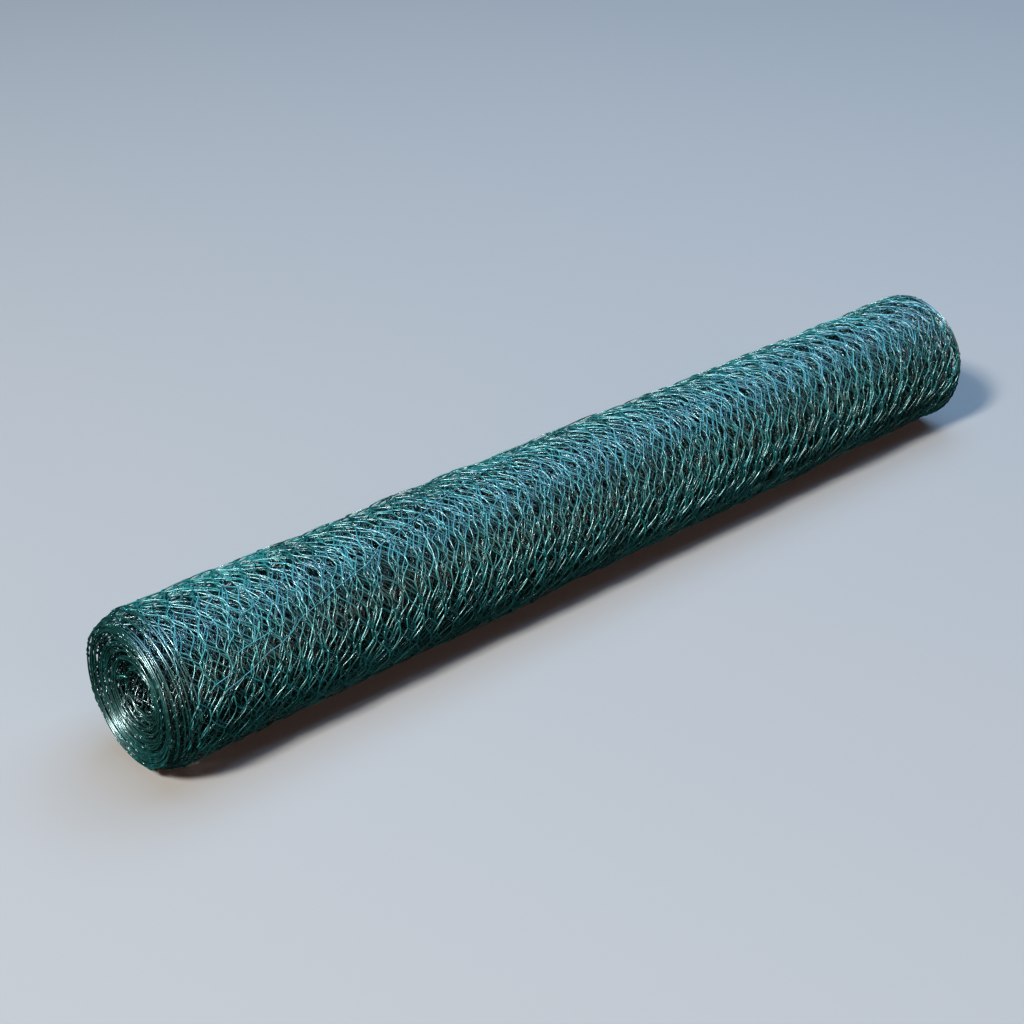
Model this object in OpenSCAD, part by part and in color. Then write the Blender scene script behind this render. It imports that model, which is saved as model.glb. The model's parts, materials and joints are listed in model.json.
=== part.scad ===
// A roll of coated hexagonal wire netting, lying on its side with its axis along X.
// The winding is one turned solid: a section through half of the roll, carried once round
// the axis. Each turn of netting is one step of that section, and the selvedge wire that
// edges the netting is a round bead on each end of the step, so both ends show the turns.
// The hexagonal mesh itself is finer than this model: the outer surface stands for the
// top of its wires.

/* [Netting] */
// Width of the netting, which is the length of the roll
netting_w = 1000; // [500:50:1800]
// Length of netting wound on the roll, in metres
netting_len_m = 10; // [4:1:25]
// Diameter of the mesh wire over its coating
wire_d = 1.0; // [0.8:0.1:1.1]
// Diameter of the selvedge wire over its coating
selvedge_d = 1.3; // [1.0:0.1:1.3]

/* [Winding] */
// Diameter of the open bore that the first turn leaves
bore_d = 37; // [24:1:60]
// Radial room that one turn takes, its mesh nested loosely in the turn below
turn_pitch = 1.4; // [1.4:0.1:2.4]

/* [Near end] */
// How many outer turns step back from the rim, the turn that stands out furthest
near_step_turns = 8; // [3:1:10]
// How far back from the rim the outermost turn ends
near_step = 24; // [8:1:40]
// How deep the innermost turn is sunk below the rim
near_sink = 12; // [3:1:20]

/* [Far end] */
// How many outer turns step back from the rim
far_step_turns = 6; // [3:1:10]
// How far back from the rim the outermost turn ends
far_step = 14; // [5:1:40]
// How deep the innermost turn is sunk below the rim
far_sink = 7; // [3:1:20]

/* [Hidden] */
// How sharply the step-back grows towards the outside: 1 would be a straight cone
step_curve = 1.6;
// Facets of the turned surfaces and of a bead in a preview
turned_fn = 120;
bead_fn = 16;
mm_per_m = 1000;
netting_green = "darkslategray";

bore_r = bore_d / 2;

// The turns of a spiral cover a ring whose area is the netting's length times one pitch
wound_r = sqrt(pow(bore_r, 2) + netting_len_m * mm_per_m * turn_pitch / PI);
turns = round((wound_r - bore_r) / turn_pitch);

// Radii of one turn: its inside, its outside, and the middle of its selvedge wire
function inner_r(i) = bore_r + i * turn_pitch;
function outer_r(i) = inner_r(i + 1);
function selvedge_r(i) = outer_r(i) - wire_d / 2;

// How far the end of turn i lies behind the rim: the outer turns fall back along a curve,
// and the inner ones sink evenly towards the bore
function setback(i, step_turns, step, sink) =
    let(rim = turns - 1 - step_turns)
    i > rim
        ? step * pow((i - rim) / step_turns, step_curve)
        : sink * (rim - i) / rim;

// Places along the axis of the middle of turn i's selvedge wire, at the two ends
function near_x(i) =
    -netting_w / 2 + selvedge_d / 2 + setback(i, near_step_turns, near_step, near_sink);
function far_x(i) =
    netting_w / 2 - selvedge_d / 2 - setback(i, far_step_turns, far_step, far_sink);

// Height of the axis above the floor, where the outermost turn or its beads rest
axis_h = max(outer_r(turns - 1), selvedge_r(turns - 1) + selvedge_d / 2);

// The stepped half section, radius across and the roll's axis upwards
module stepped_section() {
    near_steps = [
        for (i = [0 : turns - 1])
            each [[inner_r(i), near_x(i)], [outer_r(i), near_x(i)]]
    ];
    far_steps = [
        for (i = [turns - 1 : -1 : 0])
            each [[outer_r(i), far_x(i)], [inner_r(i), far_x(i)]]
    ];
    polygon(concat(near_steps, far_steps));
}

// The selvedge wire of every turn, cut through at both ends of the section
module selvedge_beads() {
    for (i = [0 : turns - 1], x = [near_x(i), far_x(i)])
        translate([selvedge_r(i), x])
            circle(d = selvedge_d, $fn = bead_fn);
}

// All the turns as one turned solid with its open bore, laid down along X
module netting_roll() {
    color(netting_green)
        translate([0, 0, axis_h])
            rotate([0, 90, 0])
                rotate_extrude($fn = turned_fn)
                    union() {
                        stepped_section();
                        selvedge_beads();
                    }
}

netting_roll();
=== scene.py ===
# %% [markdown]
# # A roll of coated wire netting
#
# The object is one strip of hexagonal wire netting, a metre wide and about ten metres long,
# wound loosely on itself and laid on its side. Its wires are galvanised steel in a dark
# green plastic coat. Nothing on it is solid: what the eye reads as a cylinder is a few
# thousand crossing wires, with light on the outer ones and darkness between the inner ones.
# A textured cylinder would look wrong at its outline and in every gap, so this script winds
# the real strip, wire by wire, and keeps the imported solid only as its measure.

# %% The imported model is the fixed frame
import json
import math

import bpy
import numpy as np
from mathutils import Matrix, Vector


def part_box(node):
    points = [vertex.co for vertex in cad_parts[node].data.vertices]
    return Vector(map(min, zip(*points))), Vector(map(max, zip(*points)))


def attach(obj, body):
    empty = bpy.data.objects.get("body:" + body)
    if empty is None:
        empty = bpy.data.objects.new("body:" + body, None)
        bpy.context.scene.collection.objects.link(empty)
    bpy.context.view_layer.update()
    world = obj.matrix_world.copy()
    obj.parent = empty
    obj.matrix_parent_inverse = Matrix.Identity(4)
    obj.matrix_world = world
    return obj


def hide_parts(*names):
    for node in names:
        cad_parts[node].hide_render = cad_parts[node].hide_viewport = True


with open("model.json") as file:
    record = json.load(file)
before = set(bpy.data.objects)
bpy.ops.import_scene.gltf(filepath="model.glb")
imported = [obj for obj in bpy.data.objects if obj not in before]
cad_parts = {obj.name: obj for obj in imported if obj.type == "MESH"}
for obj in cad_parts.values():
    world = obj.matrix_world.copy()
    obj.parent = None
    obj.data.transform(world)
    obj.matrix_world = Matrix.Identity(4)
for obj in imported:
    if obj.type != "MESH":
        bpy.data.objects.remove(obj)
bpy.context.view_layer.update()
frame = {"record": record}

# %% [markdown]
# ## Sizes
#
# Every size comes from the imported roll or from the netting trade: the wire over its coat is
# 1 mm, the selvedge wire that edges the strip is a little thicker, and the mesh is 25 mm
# from one twist to the next in the same row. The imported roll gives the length, the outer
# radius and the bore, and the number of turns follows from the room that one turn takes.

# %% Sizes of the roll and of its netting
MM = 0.001
ROLL_NODE = "netting_roll"
roll_low, roll_high = (np.array(corner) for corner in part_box(ROLL_NODE))
ROLL_LENGTH = float(roll_high[0] - roll_low[0])
ROLL_RADIUS = float(roll_high[2] - roll_low[2]) / 2
AXIS_HEIGHT = float(roll_high[2] + roll_low[2]) / 2
bore = next(m for m in frame["record"]["mounts"] if m["name"] == "core_bore")
BORE_RADIUS = bore["dims"]["r_mm"] * MM

WIRE = 1.0 * MM
SELVEDGE = 1.3 * MM
TURNS = 36

MESH = 24.4 * MM
COLUMNS = round(ROLL_LENGTH / (MESH / 2))
TWIST = 9 * MM
DIAGONAL = 15.5 * MM
ROW = TWIST + DIAGONAL
print(f"roll {ROLL_LENGTH:.3f} m long, {2 * ROLL_RADIUS:.4f} m thick, {TURNS} turns")
print(f"{COLUMNS} half meshes across the strip, a row every {ROW / MM:.1f} mm")

# %% [markdown]
# ## The spiral
#
# Wound stock follows a spiral. The first turns of netting spring open and lie loosely, and
# the later ones are pulled tight over them, so each turn adds a little less to the radius
# than the one before. Rings of growing size would be simpler, but the strip then has no end
# to leave free. The useful number along a spiral is the length of strip used so far, because
# the mesh repeats along that length, so the turn number is read back from the length.

# %% Length of strip, turn number and radius
INNER_RADIUS = BORE_RADIUS + WIRE
WOUND = ROLL_RADIUS - WIRE - INNER_RADIUS
TIGHT_RISE = 1.05 * MM
LOOSE_RISE = 2 * WOUND / TURNS - TIGHT_RISE
END_ANGLE = math.radians(-2)
TABLE_STEPS = 40


def radius_at(turn):
    """Radius of the spiral: the rise per turn falls evenly from loose to tight."""
    return INNER_RADIUS + LOOSE_RISE * turn - (LOOSE_RISE - TIGHT_RISE) * turn**2 / (2 * TURNS)


def length_at(turn):
    """Length of strip up to a turn number: two pi times the radius, summed over the turns."""
    bend = (LOOSE_RISE - TIGHT_RISE) * turn**3 / (6 * TURNS)
    return 2 * np.pi * (INNER_RADIUS * turn + LOOSE_RISE * turn**2 / 2 - bend)


TURN_TABLE = np.linspace(0, TURNS, TABLE_STEPS * TURNS)
LENGTH_TABLE = length_at(TURN_TABLE)


def turn_at(length):
    """Turn number at a length of strip: length_at read backwards from its table."""
    return np.interp(length, LENGTH_TABLE, TURN_TABLE)


def angle_at(turn):
    """Angle round the axis: 0 faces the camera's side, a quarter turn up is the top."""
    return END_ANGLE + 2 * np.pi * (TURNS - turn)


STRIP_LENGTH = float(length_at(TURNS))
print(f"strip length {STRIP_LENGTH:.2f} m")
print(f"one turn adds {LOOSE_RISE / MM:.2f} mm at the bore, {TIGHT_RISE / MM:.2f} mm outside")

# %% [markdown]
# ## Uneven by nature
#
# Netting is springy: no two meshes are alike and no turn lies quite on the last. Random
# numbers for each point would tear the wires, so the unevenness is a smooth field: a sum of
# sine waves of random direction, length and phase. Neighbouring points then move together,
# and a fixed seed gives the same roll on each run.


# %% Smooth random ripples
SEEDS = {"near edge": 21, "far edge": 22, "near group": 23, "far group": 24, "outline": 31,
         "bunches": 32, "across": 441, "along": 443, "lift": 45, "tones": 50, "hump": 61,
         "kinks": 62}
SAMPLES = 200


def ripples(u, v, seed, longest, shortest, waves=14):
    """Sum of sine waves over the plane (u, v), scaled to a spread of about one.

    Each wave has a random direction, a wavelength between shortest and longest, and a
    random phase.
    """
    rng = np.random.default_rng(seed)
    heading = rng.uniform(0, 2 * np.pi, waves)
    wavelength = np.exp(rng.uniform(np.log(shortest), np.log(longest), waves))
    phase = rng.uniform(0, 2 * np.pi, waves)
    total = np.zeros(np.broadcast(u, v).shape)
    for h, w, p in zip(heading, wavelength, phase):
        total += np.sin(2 * np.pi * (u * np.cos(h) + v * np.sin(h)) / w + p)
    return total * np.sqrt(2 / waves)


def ring_ripples(x, angle, seed, longest, shortest, lobes=4, waves=16):
    """Ripples that close on themselves round the roll: whole numbers of waves per turn."""
    rng = np.random.default_rng(seed)
    wavelength = np.exp(rng.uniform(np.log(shortest), np.log(longest), waves))
    whole = rng.integers(-lobes, lobes + 1, waves)
    phase = rng.uniform(0, 2 * np.pi, waves)
    total = np.zeros(np.broadcast(x, angle).shape)
    for w, m, p in zip(wavelength, whole, phase):
        total += np.sin(2 * np.pi * x / w + m * angle + p)
    return total * np.sqrt(2 / waves)


sample = ripples(np.linspace(0, 1, SAMPLES), 0.0, SEEDS["near edge"], 0.2, 0.05)
print(f"ripples have a spread of {sample.std():.2f} and a largest value of {sample.max():.2f}")

# %% [markdown]
# ## The two ends
#
# At each end the outer turns fall back from the rim along a curve and the inner turns sink
# towards the bore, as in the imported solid. A wound strip is never aligned this well. Its
# edge wanders a millimetre or two along the axis, and a few turns at a time slide in or out
# together, which is why the rings on the end show in groups with dark gaps between.

# %% Where the strip's two edges lie along the axis
STEP_CURVE = 1.6
SINK_CURVE = 0.7
NEAR_END = {"rim": 57.2 * MM, "step": 24 * MM, "sink": 12 * MM}
FAR_END = {"rim": 60.0 * MM, "step": 14 * MM, "sink": 7 * MM}
WANDER = 1.2 * MM
WANDER_WAVES = (0.9, 0.12)
GROUP = 1.5 * MM
GROUP_TURNS = (8.0, 3.5)


def setback(radius, rim, step, sink):
    """How far the strip's edge lies behind the rim at a radius.

    Outside the rim it is step times a power of the share of the way from the rim to the
    outside, and inside it is sink times a power of the share from the rim to the bore.
    """
    outside = np.maximum(radius - rim, 0) / (ROLL_RADIUS - rim)
    inside = np.maximum(rim - radius, 0) / (rim - BORE_RADIUS)
    return step * outside**STEP_CURVE + sink * inside**SINK_CURVE


def wander(turn, length, end):
    """How far an edge strays: ripples along the strip plus slow ripples from turn to turn."""
    return (WANDER * ripples(length, 0.0, SEEDS[end + " edge"], *WANDER_WAVES)
            + GROUP * ripples(turn, 0.0, SEEDS[end + " group"], *GROUP_TURNS))


def edges_at(turn, length):
    """Places along the axis of the strip's near and far edge."""
    radius = radius_at(turn)
    reach = (ROLL_LENGTH - SELVEDGE) / 2
    near = -reach + setback(radius, **NEAR_END) + wander(turn, length, "near")
    far = reach - setback(radius, **FAR_END) + wander(turn, length, "far")
    return near, far


last_edges = edges_at(np.array([float(TURNS)]), np.array([STRIP_LENGTH]))
print("the last turn's edges lie at", [round(float(e[0]), 4) for e in last_edges], "metres")

# %% [markdown]
# ## From the flat strip to the roll
#
# One function carries any point of the flat strip onto the spiral. Everything that makes
# this roll itself sits there: a slack gap between the inner and the outer turns, a swelling
# on top, the outline's unevenness and the flat that its own weight presses on the floor.

# %% Carry strip coordinates onto the roll
SLACK_TURNS = (19.0, 21.5)
SLACK = 2.2 * MM
SLACK_ANGLE = math.radians(-40)
PAIR = 0.38 * MM
PAIR_SHARPNESS = 2.2
PAIR_LEAN = 1.2
PAIR_PHASE = 0.7
BUNCH = 0.8 * MM
BUNCH_TURNS = (11.0, 4.5)
BUNCH_LOBES = 2
BULGE = {"x": 45 * MM, "angle": math.radians(105), "height": 2.6 * MM}
BULGE_LONG = 45 * MM
BULGE_ROUND = 0.45
UNEVEN = 0.55 * MM
UNEVEN_WAVES = (0.35, 0.06)
FLOOR_CLEARANCE = 0.7 * WIRE
TINY = 1e-6


def ease(share):
    """Smoothstep: three times the square less twice the cube, flat at both ends."""
    share = np.clip(share, 0, 1)
    return share * share * (3 - 2 * share)


def looseness(x, angle, turn):
    """How far a turn stands off its spiral.

    The outline's unevenness and the swelling on top grow with the square of the turn
    number. The inner turns lie in pairs, a sine wave two turns long that a hyperbolic
    tangent squares off, and in slow irregular bunches; both fade towards the outside.
    """
    outer = (turn / TURNS) ** 2
    uneven = UNEVEN * ring_ripples(x, angle, SEEDS["outline"], *UNEVEN_WAVES)
    away = (np.angle(np.exp(1j * (angle - BULGE["angle"]))) / BULGE_ROUND) ** 2
    bulge = BULGE["height"] * np.exp(-away - ((x - BULGE["x"]) / BULGE_LONG) ** 2)
    inner = np.sqrt(1 - (turn / TURNS) ** 2 + TINY)
    lean = PAIR_LEAN * np.sin(angle + PAIR_PHASE)
    pairs = PAIR * np.tanh(PAIR_SHARPNESS * np.sin(np.pi * turn + lean))
    bunches = BUNCH * ring_ripples(turn, angle, SEEDS["bunches"], *BUNCH_TURNS, BUNCH_LOBES)
    return outer * (uneven + bulge) + inner * (pairs + bunches)


def place(x, angle, radius):
    """A point from its place along the axis, its angle and its radius, kept off the floor."""
    y = -radius * np.cos(angle)
    z = np.maximum(AXIS_HEIGHT + radius * np.sin(angle), FLOOR_CLEARANCE)
    return np.stack(np.broadcast_arrays(x, y, z), axis=-1)


def on_roll(length, across, lift):
    """Points on the roll from strip coordinates.

    length runs along the strip from its inner end, across from 0 at the near edge to 1 at
    the far edge, and lift is the height off the turn's own surface.
    """
    turn = turn_at(length)
    angle = angle_at(turn)
    near, far = edges_at(turn, length)
    x = near + (far - near) * across
    radius = radius_at(turn) + lift + looseness(x, angle, turn)
    points = place(x, angle, radius)
    slack = SLACK * (1 - ease((turn - SLACK_TURNS[0]) / (SLACK_TURNS[1] - SLACK_TURNS[0])))
    points[..., 1] -= slack * np.cos(SLACK_ANGLE)
    points[..., 2] += slack * np.sin(SLACK_ANGLE)
    return points


# %% [markdown]
# ## Wires as tubes
#
# A wire could be a curve with a round bevel, but Blender would then choose the facets, and
# thousands of curves are slow. Here a whole family of wires is one array of paths: at each
# point a small ring of corners stands square to the path, and rings are joined by quads.
# Index arithmetic on the whole array makes every face at once. Few sides are enough, because
# smooth shading rounds a wire that is a pixel wide.


# %% A family of tubes along many paths
NO_LENGTH = 1e-12


def tubes(paths, radius, sides, tone, kept=None):
    """Closed tubes along paths of shape (wires, points, 3).

    A corner lies at the path plus radius times (cosine times the outward normal plus sine
    times the sideways one). The radius is stretched so that a tube of few sides covers the
    same width as a round one: a polygon's mean width is its rim's length over pi. kept
    gives how many points of each path are used. Returns the corners, the faces' corner
    numbers, the faces' sizes and a tone for each corner.
    """
    wires, points, _ = paths.shape
    radius = radius * np.pi / (sides * np.sin(np.pi / sides))
    kept = np.full(wires, points) if kept is None else kept
    tangent = np.gradient(paths, axis=1)
    tangent /= np.linalg.norm(tangent, axis=2, keepdims=True) + NO_LENGTH
    outward = paths - np.array([0, 0, AXIS_HEIGHT])
    outward[..., 0] = 0
    sideways = np.cross(tangent, outward)
    sideways /= np.linalg.norm(sideways, axis=2, keepdims=True) + NO_LENGTH
    upright = np.cross(sideways, tangent)
    turn = np.arange(sides) * 2 * np.pi / sides
    ring = (upright[:, :, None] * np.cos(turn)[:, None]
            + sideways[:, :, None] * np.sin(turn)[:, None])
    corners = paths[:, :, None] + radius * ring
    number = np.arange(wires * points * sides).reshape(wires, points, sides)
    here, there = number[:, :-1], number[:, 1:]
    quads = np.stack([here, np.roll(here, -1, 2), np.roll(there, -1, 2), there], -1)
    used = np.arange(points - 1) < (kept - 1)[:, None]
    quads = quads[used].reshape(-1, quads.shape[-1])
    whole = kept > 1
    first_caps = number[whole, 0][:, ::-1]
    last_caps = number[whole, kept[whole] - 1]
    caps = np.concatenate([first_caps, last_caps])
    loops = np.concatenate([quads.ravel(), caps.ravel()])
    totals = np.repeat([quads.shape[1], sides], [len(quads), len(caps)])
    tones = np.broadcast_to(np.reshape(tone, (-1, 1, 1)), number.shape)
    kept_corners, loops = np.unique(loops, return_inverse=True)
    return corners.reshape(-1, 3)[kept_corners], loops, totals, tones.ravel()[kept_corners]


def make_piece(name, parts, material):
    """One mesh object from several families of tubes, with their tone as an attribute."""
    starts = np.cumsum([0] + [len(p[0]) for p in parts])
    corners = np.concatenate([p[0] for p in parts])
    loops = np.concatenate([p[1] + s for p, s in zip(parts, starts)])
    totals = np.concatenate([p[2] for p in parts])
    mesh = bpy.data.meshes.new(name)
    mesh.vertices.add(len(corners))
    mesh.vertices.foreach_set("co", corners.astype(np.float32).ravel())
    mesh.loops.add(len(loops))
    mesh.loops.foreach_set("vertex_index", loops.astype(np.int32))
    mesh.polygons.add(len(totals))
    mesh.polygons.foreach_set("loop_start", (np.cumsum(totals) - totals).astype(np.int32))
    mesh.update(calc_edges=True)
    mesh.polygons.foreach_set("use_smooth", np.ones(len(totals), bool))
    tone = mesh.attributes.new("tone", "FLOAT", "POINT")
    tone.data.foreach_set("value", np.concatenate([p[3] for p in parts]).astype(np.float32))
    mesh.materials.append(material)
    piece = bpy.data.objects.new(name, mesh)
    bpy.context.scene.collection.objects.link(piece)
    print(f"{name}: {int((totals - 2).sum())} triangles")
    return piece


# %% [markdown]
# ## Shader maths as Python
#
# A procedural material is a formula over the surface. Written as node calls it is hard to
# read, so a small class wraps a socket: adding or multiplying two of them adds the Math node
# that does it, and colours go through Mix. Plain numbers are worked out in Python.


# %% A socket that can be written in formulas
# A Mix node's colour sockets share their names with its others, so they go by number
MIX_LOW = 6
MIX_HIGH = 7
MIX_RESULT = 2


class Wired:
    """One node output of a material's tree, with the arithmetic that this script uses."""

    def __init__(self, tree, socket):
        self.tree = tree
        self.socket = socket

    def node(self, kind, settings=None, inputs=None):
        """Add a node: its settings first, then its sockets' values or links."""
        made = self.tree.nodes.new(kind)
        for key, value in (settings or {}).items():
            setattr(made, key, value)
        for key, value in (inputs or {}).items():
            if isinstance(value, Wired):
                self.tree.links.new(value.socket, made.inputs[key])
            else:
                made.inputs[key].default_value = value
        return made

    def math(self, operation, *values, clamp=False):
        """One Math node on these values, in their order."""
        made = self.node("ShaderNodeMath", {"operation": operation, "use_clamp": clamp},
                         dict(enumerate(values)))
        return Wired(self.tree, made.outputs[0])

    def __add__(self, other):
        return self.math("ADD", self, other)

    def __radd__(self, other):
        return self.math("ADD", other, self)

    def __sub__(self, other):
        return self.math("SUBTRACT", self, other)

    def __rsub__(self, other):
        return self.math("SUBTRACT", other, self)

    def __mul__(self, other):
        return self.math("MULTIPLY", self, other)

    def __rmul__(self, other):
        return self.math("MULTIPLY", other, self)

    def clamped(self):
        """The value kept between 0 and 1."""
        return self.math("ADD", self, 0.0, clamp=True)

    def between(self, low, high):
        """A colour that goes from low to high as the value goes from 0 to 1."""
        made = self.node("ShaderNodeMix", {"data_type": "RGBA"},
                         {"Factor": self.clamped(), MIX_LOW: low, MIX_HIGH: high})
        return Wired(self.tree, made.outputs[MIX_RESULT])


# %% [markdown]
# ## The coated wire
#
# The coat is soft plastic run over the wire hot: dark blue-green, glossy where it is clean,
# a little chalky where it has weathered, with a fine orange-peel skin. One material serves
# all the wires, and each wire's tone moves it between fresh and weathered; on the inner turns
# the lower tone is a painted shade. The colour itself is almost black; most of what reads as
# green is the sheen, so the sheen is tinted too. A pigmented coat with a clear white sheen
# would glitter like glass.

# %% The coated wire's material
FRESH_GREEN = (0.0008, 0.013, 0.011, 1)
WEATHERED_GREEN = (0.005, 0.108, 0.106, 1)
SHEEN_TINT = (0.70, 1.0, 0.98, 1)
DUST = (0.012, 0.13, 0.125, 1)
# Each noise: its lumps per metre and how many finer octaves it adds
NOISES = {"patches": (14.0, 3.0), "flecks": (240.0, 2.0), "skin": (500.0, 1.0)}
NOISE_MIDDLE = 0.5
WEAR_AND_SHADE_FROM = {"tone": 0.75, "patches": 0.9, "flecks": 0.5}
DUST_GAIN = 2.2
DUST_START = 1.2
DUST_COVER = 0.4
ROUGHNESS = {"clean": 0.29, "wear_and_shade": 0.08, "dust": 0.3}
SKIN_BUMP = {"Strength": 0.06, "Distance": 0.0002}
SHEEN = {"Specular IOR Level": 1.0, "Coat Weight": 0.15, "Coat Roughness": 0.35}


def coated_wire():
    """Plastic-coated wire: colour, gloss and skin vary over the surface.

    Wear and shade is the wire's tone plus large patches plus small flecks; it mixes fresh into
    weathered green. The tone is random wear, and on the inner turns also a painted shade. Dust
    lies where the flecks are highest. This mix and the dust roughen the coat.
    """
    material = bpy.data.materials.new("coated_wire")
    material.use_nodes = True
    tree = material.node_tree
    shader = tree.nodes["Principled BSDF"]
    start = Wired(tree, None)
    place_node = start.node("ShaderNodeTexCoord")
    here = Wired(tree, place_node.outputs["Object"])
    tone_node = start.node("ShaderNodeAttribute", {"attribute_name": "tone"})
    tone = Wired(tree, tone_node.outputs["Fac"])

    def noise(name):
        scale, detail = NOISES[name]
        made = start.node("ShaderNodeTexNoise", {"noise_dimensions": "3D"},
                          {"Vector": here, "Scale": scale, "Detail": detail})
        return Wired(tree, made.outputs["Fac"])

    patches, flecks, skin = (noise(name) for name in NOISES)
    # Wear and painted shade: the tone darkens the inner turns as a painted shade, and the
    # noises add random wear.
    wear_and_shade = (tone * WEAR_AND_SHADE_FROM["tone"] + (patches - NOISE_MIDDLE) * WEAR_AND_SHADE_FROM["patches"]
           + (flecks - NOISE_MIDDLE) * WEAR_AND_SHADE_FROM["flecks"])
    green = wear_and_shade.between(FRESH_GREEN, WEATHERED_GREEN)
    dusty = (flecks * DUST_GAIN - DUST_START).clamped() * DUST_COVER
    tree.links.new(dusty.between(green, DUST).socket, shader.inputs["Base Color"])
    rough = ROUGHNESS["clean"] + wear_and_shade * ROUGHNESS["wear_and_shade"] + dusty * ROUGHNESS["dust"]
    tree.links.new(rough.clamped().socket, shader.inputs["Roughness"])
    bump = start.node("ShaderNodeBump", None, {"Height": skin, **SKIN_BUMP})
    tree.links.new(bump.outputs["Normal"], shader.inputs["Normal"])
    shader.inputs["Specular Tint"].default_value = SHEEN_TINT
    for name, value in SHEEN.items():
        shader.inputs[name].default_value = value
    return material


wire_material = coated_wire()
print("material nodes:", len(wire_material.node_tree.nodes))

# %% [markdown]
# ## The hexagonal mesh
#
# A netting machine runs straight wires side by side. Each wire is twisted round its left
# neighbour, then slants across and is twisted round its right one, and so on, and the gaps
# between are hexagons. So a wire is a zigzag between two columns: straight along a twist,
# slanting along a diagonal. All wires and rows are computed at once, as one array over
# wire, row and step. The coat is run on after the twisting and fills the twists, so their
# two wires are set closer than two bare ones could lie, and each goes only half round the
# other: finer twists than that are hidden under the coat. The selvedges hold the mesh
# straight, so whatever pulls it out of its pattern fades over the last few columns.

# %% Paths of the mesh wires
MESH_SWAY = 2.0 * MM
MESH_JITTER = 1.2 * MM
SWAY_WAVES = (0.45, 0.15)
JITTER_WAVES = (0.08, 0.03)
LIFT_WAVES = (0.09, 0.03)
INNER_SWAY = 4.0
EDGE_COLUMNS = 5
MESH_LIFT = 0.3 * MM
SLANT_EASE = 0.5
FUSED = 0.20 * MM


def zigzag(wires, rows, twist_steps, slant_steps):
    """Strip coordinates of mesh wires, as arrays over wire, row and step.

    Along a twist the column stays the same while the wire goes half round it: sideways by
    the cosine and off the surface by the sine of the angle turned. Along a diagonal the
    column eases over to the neighbour, and the wire stays on the side where it came out.
    """
    wire = wires[:, None, None]
    row = rows[None, :, None]
    twist_share = np.linspace(0, 1, twist_steps + 1)
    slant_share = np.linspace(0, 1, slant_steps + 1)[1:-1]
    step_length = np.concatenate([twist_share * TWIST, TWIST + slant_share * DIAGONAL])
    crossing = np.concatenate([np.zeros(twist_steps + 1), slant_share])
    crossing = (1 - SLANT_EASE) * crossing + SLANT_EASE * ease(crossing)
    turned = np.pi * np.concatenate([twist_share, np.ones(slant_steps - 1)])
    odd = (wire + row) % 2
    here, there = wire + odd, wire + 1 - odd
    column = here + (there - here) * crossing
    partner = 1 - 2 * odd
    on_edge = (here == 0) | (here == COLUMNS)
    reach = np.where(on_edge, (SELVEDGE + WIRE) / 2, FUSED)
    length = row * ROW + step_length
    sideways = partner * reach * np.cos(turned)
    lift = partner * reach * np.sin(turned)
    arrays = np.broadcast_arrays(length, column, sideways, lift)
    return [a.reshape(len(wires), -1) for a in arrays]


def pulled(length, x, seed):
    """How far the mesh is pulled out of its pattern: a long sway plus a short jitter.

    The sway is smallest on the outermost turn and grows evenly towards the loose turns
    inside.
    """
    looser = 1 + INNER_SWAY * (1 - turn_at(length) / TURNS)
    return (MESH_SWAY * looser * ripples(length, x, seed, *SWAY_WAVES)
            + MESH_JITTER * ripples(length, x, seed + 1, *JITTER_WAVES))


def mesh_wires(first_turn, last_turn, sides, twist_steps, slant_steps, tones, seed, cut=None):
    """The mesh between two turn numbers, as closed tubes.

    cut, where given, is a function of the place along the axis that says at which turn
    number the wires end. Without it the last row keeps only its first point, where the
    next piece's wires begin.
    """
    wires = np.arange(COLUMNS)
    rows = np.arange(int(length_at(first_turn) // ROW), int(length_at(last_turn) // ROW) + 1)
    length, column, sideways, lift = zigzag(wires, rows, twist_steps, slant_steps)
    if cut is None:
        used = length.shape[1] - (twist_steps + slant_steps) + 1
        length, column, sideways, lift = (a[:, :used] for a in (length, column, sideways, lift))
    across = column / COLUMNS
    x = across * ROLL_LENGTH
    inside = ease(np.minimum(across, 1 - across) * COLUMNS / EDGE_COLUMNS)
    sway = pulled(length, x, SEEDS["across"])
    slip = pulled(length, x, SEEDS["along"])
    lift = lift + MESH_LIFT * ripples(length, x, SEEDS["lift"], *LIFT_WAVES)
    across = across + (sideways + inside * sway) / ROLL_LENGTH
    points = on_roll(np.minimum(length + slip, STRIP_LENGTH), across, lift)
    kept = None
    if cut is not None:
        beyond = turn_at(length + slip) > cut(points[..., 0])
        kept = np.where(beyond.any(axis=1), beyond.argmax(axis=1), beyond.shape[1])
    rng = np.random.default_rng(seed)
    tone = rng.uniform(*tones, len(wires))
    return tubes(points, WIRE / 2, sides, tone, kept)


# %% [markdown]
# ## Where the strip ends
#
# The free end was cut across by hand and lies aslant: its edge starts low on the near end,
# climbs round the front and passes over the top to the back. These points were taken
# along the edge, as a place along the axis and an angle up from the front.

# %% The cut edge's course
CUT_X = np.array([-474, -471, -464, -459, -450, -435, -415, -405, -393, -377, -362, -353,
                  -338, -327, -313, -303, -290, -278, -267, -253, -150, 0, 50, 110,
                  300, 490]) * MM
CUT_ANGLE = np.radians([-12, -4, 5.5, 11.7, 15.2, 18, 24.2, 27, 29.3, 34.6, 39.5, 41.5,
                        44.6, 47.1, 50.1, 51.9, 54, 58.9, 63, 66.5, 88, 112, 128, 146,
                        164, 178])


def cut_turn(x):
    """The turn number at which the strip ends, for a place along the axis."""
    return TURNS - (np.interp(x, CUT_X, CUT_ANGLE) - END_ANGLE) / (2 * np.pi)


print(f"the cut edge climbs {math.degrees(CUT_ANGLE[-1] - CUT_ANGLE[0]):.0f} degrees")
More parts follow.
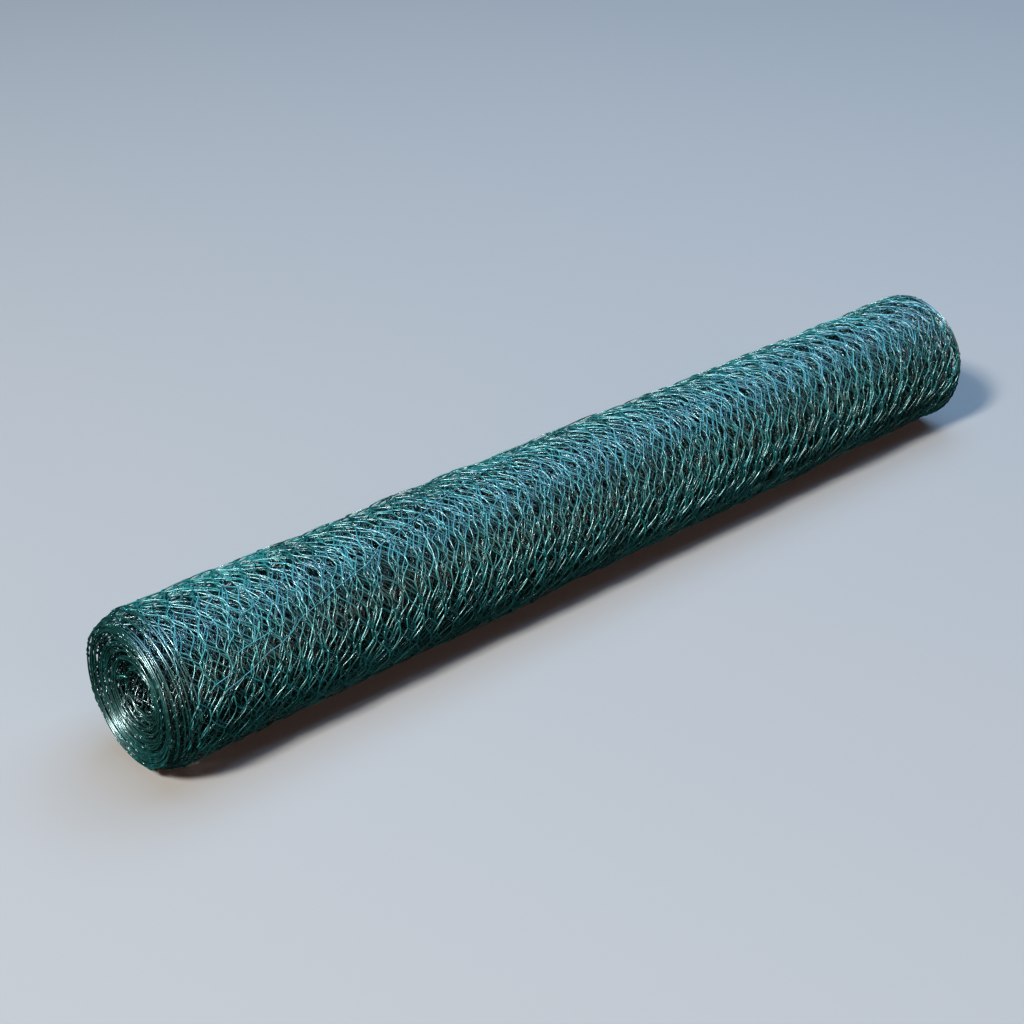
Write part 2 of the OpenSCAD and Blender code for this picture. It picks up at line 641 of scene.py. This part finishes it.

# %% [markdown]
# ## Winding the turns
#
# The outermost turns are seen wire by wire, so their twists are modelled in full. Further
# in, only a glint of each wire reaches the eye: three sides and a few steps are enough.
# Those turns take lower tones: a painted shade, which makes the gaps between the outer wires
# look deep and darkens the bore. The turns are grouped so that each piece keeps under the
# limit for one mesh.

# %% The turns, from the last one inwards
FULL = {"sides": 4, "twist_steps": 4, "slant_steps": 4, "tones": (0.1, 0.95)}
PLAIN = {"sides": 3, "twist_steps": 3, "slant_steps": 3, "tones": (0.1, 0.9)}
# The backing and spare turns take lower tones: a painted shade on the turns that lie under the
# outer ones and round the bore.
BACKING = {**PLAIN, "tones": (-0.3, 0.4)}
SPARE = {"sides": 3, "twist_steps": 1, "slant_steps": 2, "tones": (-0.6, 0.1)}
# Each layer: its name, its first and last turn number, and how finely it is made
LAYERS = [
    ("last_turn", TURNS - 1, TURNS, FULL),
    ("second_turn", TURNS - 2, TURNS - 1, FULL),
    ("third_turn", TURNS - 3, TURNS - 2, {**FULL, "sides": 3}),
    ("outer_turns", TURNS - 6, TURNS - 3, PLAIN),
    ("backing_turns", TURNS - 8, TURNS - 6, BACKING),
    ("middle_turns", 19, TURNS - 8, SPARE),
    ("inner_turns", 8, 19, SPARE),
    ("bore_turns", 0, 8, SPARE),
]
pieces = []
for number, (name, first, last, detail) in enumerate(LAYERS):
    cut = cut_turn if last == TURNS else None
    family = mesh_wires(first, last, seed=SEEDS["tones"] + number, cut=cut, **detail)
    pieces.append(make_piece(name, [family], wire_material))

# %% [markdown]
# ## The selvedges
#
# Along each edge of the strip runs one thicker wire, and the mesh wire beside it is wound
# round it for a stretch in every other row. Rolled up, the edge wire makes the spiral of
# close rings on the two ends, which is what tells a roll of netting from a bundle of wire.

# %% The selvedge wires
SELVEDGE_STEPS = 72
SELVEDGE_SIDES = 5
SELVEDGE_TONE = 0.0
SELVEDGE_HUMP = 0.15 * MM
HUMP_WAVES = (0.05, 0.02)
HOOK_TURNS = 1.5
HOOK_REACH = 0.8 * MM
HOOK_PITCH = 8.0 * MM
HOOK_STEPS = 9
HOOK_SIDES = 3


def selvedge(across, last_turn):
    """One edge wire of the strip from its inner end to a turn number."""
    turn = np.linspace(0, last_turn, int(last_turn * SELVEDGE_STEPS) + 1)
    length = length_at(turn)[None]
    hump = SELVEDGE_HUMP * ripples(length, 0.0, SEEDS["hump"], *HUMP_WAVES)
    points = on_roll(length, across, hump)
    return tubes(points, SELVEDGE / 2, SELVEDGE_SIDES, SELVEDGE_TONE)


def hooks(across, last_turn):
    """The edge mesh wire wound round the selvedge, once in every other row.

    Each hook is a helix: sideways by the cosine and off the surface by the sine of the angle
    turned, while the length grows by one pitch a turn.
    """
    row = np.arange(0, int(length_at(last_turn) / ROW) - 1, 2)[:, None]
    turned = np.linspace(0, 2 * np.pi * HOOK_TURNS, HOOK_STEPS + 1)[None]
    middle = row * ROW + TWIST / 2
    middle = middle + pulled(middle, across * ROLL_LENGTH, SEEDS["along"])
    length = middle + HOOK_PITCH * (turned / (2 * np.pi) - HOOK_TURNS / 2)
    beside = across + HOOK_REACH * np.cos(turned) / ROLL_LENGTH
    points = on_roll(length, beside, HOOK_REACH * np.sin(turned))
    return tubes(points, WIRE / 2, HOOK_SIDES, SELVEDGE_TONE)


for name, across in (("near_selvedge", 0.0), ("far_selvedge", 1.0)):
    last = float(cut_turn(across * ROLL_LENGTH - ROLL_LENGTH / 2))
    pieces.append(make_piece(name, [selvedge(across, last), hooks(across, last)],
                             wire_material))

# %% [markdown]
# ## The free edge and its loose strands
#
# The cut edge is the line that catches the eye on the near half: a wire pulled nearly
# straight, with a kink wherever a mesh wire is hooked round it. A few strands pulled out of
# the mesh lie across the roll, and one cut end curls into the bore. Nothing rules how such
# wires fall, so their places are listed one by one, in millimetres and degrees.

# %% Wires laid over the outer turn
EDGE_LIFT = 1.3 * MM
BACK_LIFT = EDGE_LIFT / 4
LAID_KINK = 1.4 * MM
KINK_WAVES = (0.035, 0.012)
FRONT_PART = -200 * MM
LAID_STEPS = 5
LAID_SIDES = 5
EDGE_RADIUS = 0.45 * WIRE
EDGE_TONE = 0.3
CURL_RADIUS = 0.6 * WIRE
CURL_SIDES = 6
# The curl takes the lightest tone, a painted highlight that makes it show bright in the dark
# bore.
CURL_TONE = 1.0


def laid_wire(x_mm, degrees, lift, radius, tone):
    """A wire over the outside of the roll through listed places.

    Each place is a distance along the axis and an angle, joined by straight runs on the
    unrolled surface, so that the wire keeps its kinks, and ripples add smaller ones.
    """
    knots = np.arange(len(x_mm))
    fine = np.linspace(0, len(x_mm) - 1, (len(x_mm) - 1) * LAID_STEPS + 1)
    x = np.interp(fine, knots, x_mm) * MM
    angle = np.radians(np.interp(fine, knots, degrees))
    x = x + LAID_KINK * ripples(x, angle * ROLL_RADIUS, SEEDS["kinks"], *KINK_WAVES)
    lift = np.interp(fine, knots, np.broadcast_to(lift, len(x_mm)))
    stand = ROLL_RADIUS - WIRE + lift + looseness(x, angle, float(TURNS))
    return tubes(place(x, angle, stand)[None], radius, LAID_SIDES, tone)


# Each strand: millimetres along the axis, degrees up from the front, radius in wires, tone
STRANDS = [
    ([-464, -457, -443, -433, -428, -417, -407, -393],
     [18, 21, 24, 32.5, 35, 36, 37.5, 39.5], 0.5, 0.5),
    ([-367, -363, -361, -360, -359, -360, -364, -368, -372, -376],
     [101, 87, 75, 62, 50, 40, 29, 19, 10, -4], 0.55, 0.7),
    ([-344, -347.5, -350, -353, -355, -358, -360, -357.5, -355, -354],
     [102, 86, 75, 65, 57, 50, 43, 33, 25, 10], 0.5, 0.6),
    ([-299, -296, -292.5, -290, -289, -287.5, -285, -283],
     [87, 73, 62, 53, 43, 32, 21, 10], 0.5, 0.5),
    ([-400, -399, -393, -391], [96, 82, 71, 61], 0.5, 0.5),
    ([-413, -405, -390, -377, -358], [57, 58, 63, 67, 70], 0.5, 0.5),
    ([-222, -225, -229, -233, -231], [72, 56, 38, 24, 12], 0.5, 0.5),
]
# The curl in the bore: millimetres in from the near end, degrees, and radius in millimetres
CURL = np.array([[14.0, 176.0, 23.0], [8.5, 172.0, 22.0], [6.5, 164.0, 21.0],
                 [6.0, 153.0, 20.0], [6.5, 143.0, 17.5], [8.0, 136.0, 14.5]])
edge_lift = np.where(CUT_X > FRONT_PART, BACK_LIFT, EDGE_LIFT)
free_edge = laid_wire(CUT_X / MM, np.degrees(CUT_ANGLE), edge_lift, EDGE_RADIUS, EDGE_TONE)
strands = [laid_wire(x_mm, degrees, EDGE_LIFT, in_wires * WIRE, tone)
           for x_mm, degrees, in_wires, tone in STRANDS]
curl_path = place(CURL[:, 0] * MM - ROLL_LENGTH / 2, np.radians(CURL[:, 1]), CURL[:, 2] * MM)
bore_curl = tubes(curl_path[None], CURL_RADIUS, CURL_SIDES, CURL_TONE)
pieces.append(make_piece("free_edge", [free_edge] + strands + [bore_curl], wire_material))

# %% [markdown]
# ## The floor
#
# The roll lies on a plain pale floor. A pale floor mirrored in glossy wires would fill the
# whole shaded side with grey, and the roll would lose its dark underside. So the floor is
# hidden from mirror rays only: it still catches the shadow and still throws soft light up.

# %% Floor
FLOOR_SIZE = 24.0
FLOOR_COLOUR = (0.122, 0.115, 0.103, 1)
FLOOR_ROUGHNESS = 0.85
bpy.ops.mesh.primitive_plane_add(size=FLOOR_SIZE, location=(0, 0, 0))
floor = bpy.context.object
floor.name = "floor"
floor_material = bpy.data.materials.new("pale_floor")
floor_material.use_nodes = True
floor_shader = floor_material.node_tree.nodes["Principled BSDF"]
floor_shader.inputs["Base Color"].default_value = FLOOR_COLOUR
floor_shader.inputs["Roughness"].default_value = FLOOR_ROUGHNESS
floor.data.materials.append(floor_material)
floor.visible_glossy = False
print(f"floor {FLOOR_SIZE:.0f} m square")

# %% [markdown]
# ## The lights
#
# A thin round wire mirrors a lamp only where it lies square to the line halfway between lamp
# and eye, so the place of the main lamp decides which wires of the tangle light up. Here it
# stands above the near end, and the wires that run round the roll glint along curved
# strokes. A broad bluish light overhead fills the top; it hangs over the far half, which the
# main light reaches less. A weak warm one in front keeps the shaded side from going black.
# All three are squares, which give soft shadows.

# %% Lights
KEY_AIM = Vector((-0.694, -0.136, 0.706))
KEY_DISTANCE = 6.4
LIGHTS = {
    "key_light": {"size": 1.0, "watts": 1500, "spot": KEY_AIM * KEY_DISTANCE,
                  "colour": (1.0, 1.0, 1.0)},
    "top_light": {"size": 5.2, "watts": 880, "spot": Vector((1.6, 0.3, 4.9)),
                  "colour": (0.33, 0.60, 1.0)},
    "front_light": {"size": 4.0, "watts": 150, "spot": Vector((-0.5, -6.0, 2.2)),
                    "colour": (1.5, 1.0, 0.9)},
}
SKY_COLOUR = (0.62, 0.84, 1.0, 1)
SKY_STRENGTH = 0.02


def softbox(name, size, watts, spot, colour):
    """A square area light at a spot, turned to face the middle of the roll's footprint."""
    data = bpy.data.lights.new(name, "AREA")
    data.size = size
    data.energy = watts
    data.color = colour
    lamp = bpy.data.objects.new(name, data)
    lamp.location = spot
    lamp.rotation_euler = (-spot).to_track_quat("-Z", "Y").to_euler()
    bpy.context.scene.collection.objects.link(lamp)
    return lamp


for name, light in LIGHTS.items():
    softbox(name, **light)
    print(f"{name}: {light['watts']} W from {light['spot'].length:.1f} m")
world = bpy.data.worlds.new("studio")
world.use_nodes = True
world.node_tree.nodes["Background"].inputs["Color"].default_value = SKY_COLOUR
world.node_tree.nodes["Background"].inputs["Strength"].default_value = SKY_STRENGTH
bpy.context.scene.world = world
bpy.context.scene.view_settings.view_transform = "Standard"

# %% [markdown]
# ## The camera
#
# The camera stands where the fitted view puts it: about 1.8 m from the middle of the roll,
# looking down by a little under 30 degrees, with a short telephoto lens. The lens follows
# from the fitted focal length in pixels: its share of the picture's width, times the sensor.

# %% Camera
SENSOR = 36.0
FRAME_PIXELS = 1024
FOCAL_PIXELS = 1911
CAMERA_PLACE = (-1.1179, -1.1275, 0.9070)
CAMERA_YAW = 0.7383
CAMERA_DIP = 0.4938
camera_data = bpy.data.cameras.new("camera")
camera_data.sensor_width = SENSOR
camera_data.lens = FOCAL_PIXELS / FRAME_PIXELS * SENSOR
camera = bpy.data.objects.new("camera", camera_data)
camera.location = CAMERA_PLACE
camera.rotation_euler = (math.pi / 2 - CAMERA_DIP, 0, -CAMERA_YAW)
bpy.context.scene.collection.objects.link(camera)
bpy.context.scene.camera = camera
print(f"lens {camera_data.lens:.1f} mm on a {SENSOR:.0f} mm sensor")

# %% [markdown]
# ## Into the frame
#
# Every piece rides on the one body, and the imported solid is hidden, though it stays in the
# scene. The triangles of all the pieces are counted.

# %% Ride, hide and count
for piece in pieces:
    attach(piece, "root")
    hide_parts(ROLL_NODE)
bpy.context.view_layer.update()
total = sum(len(polygon.vertices) - 2 for p in pieces for polygon in p.data.polygons)
print("triangles in all:", total)
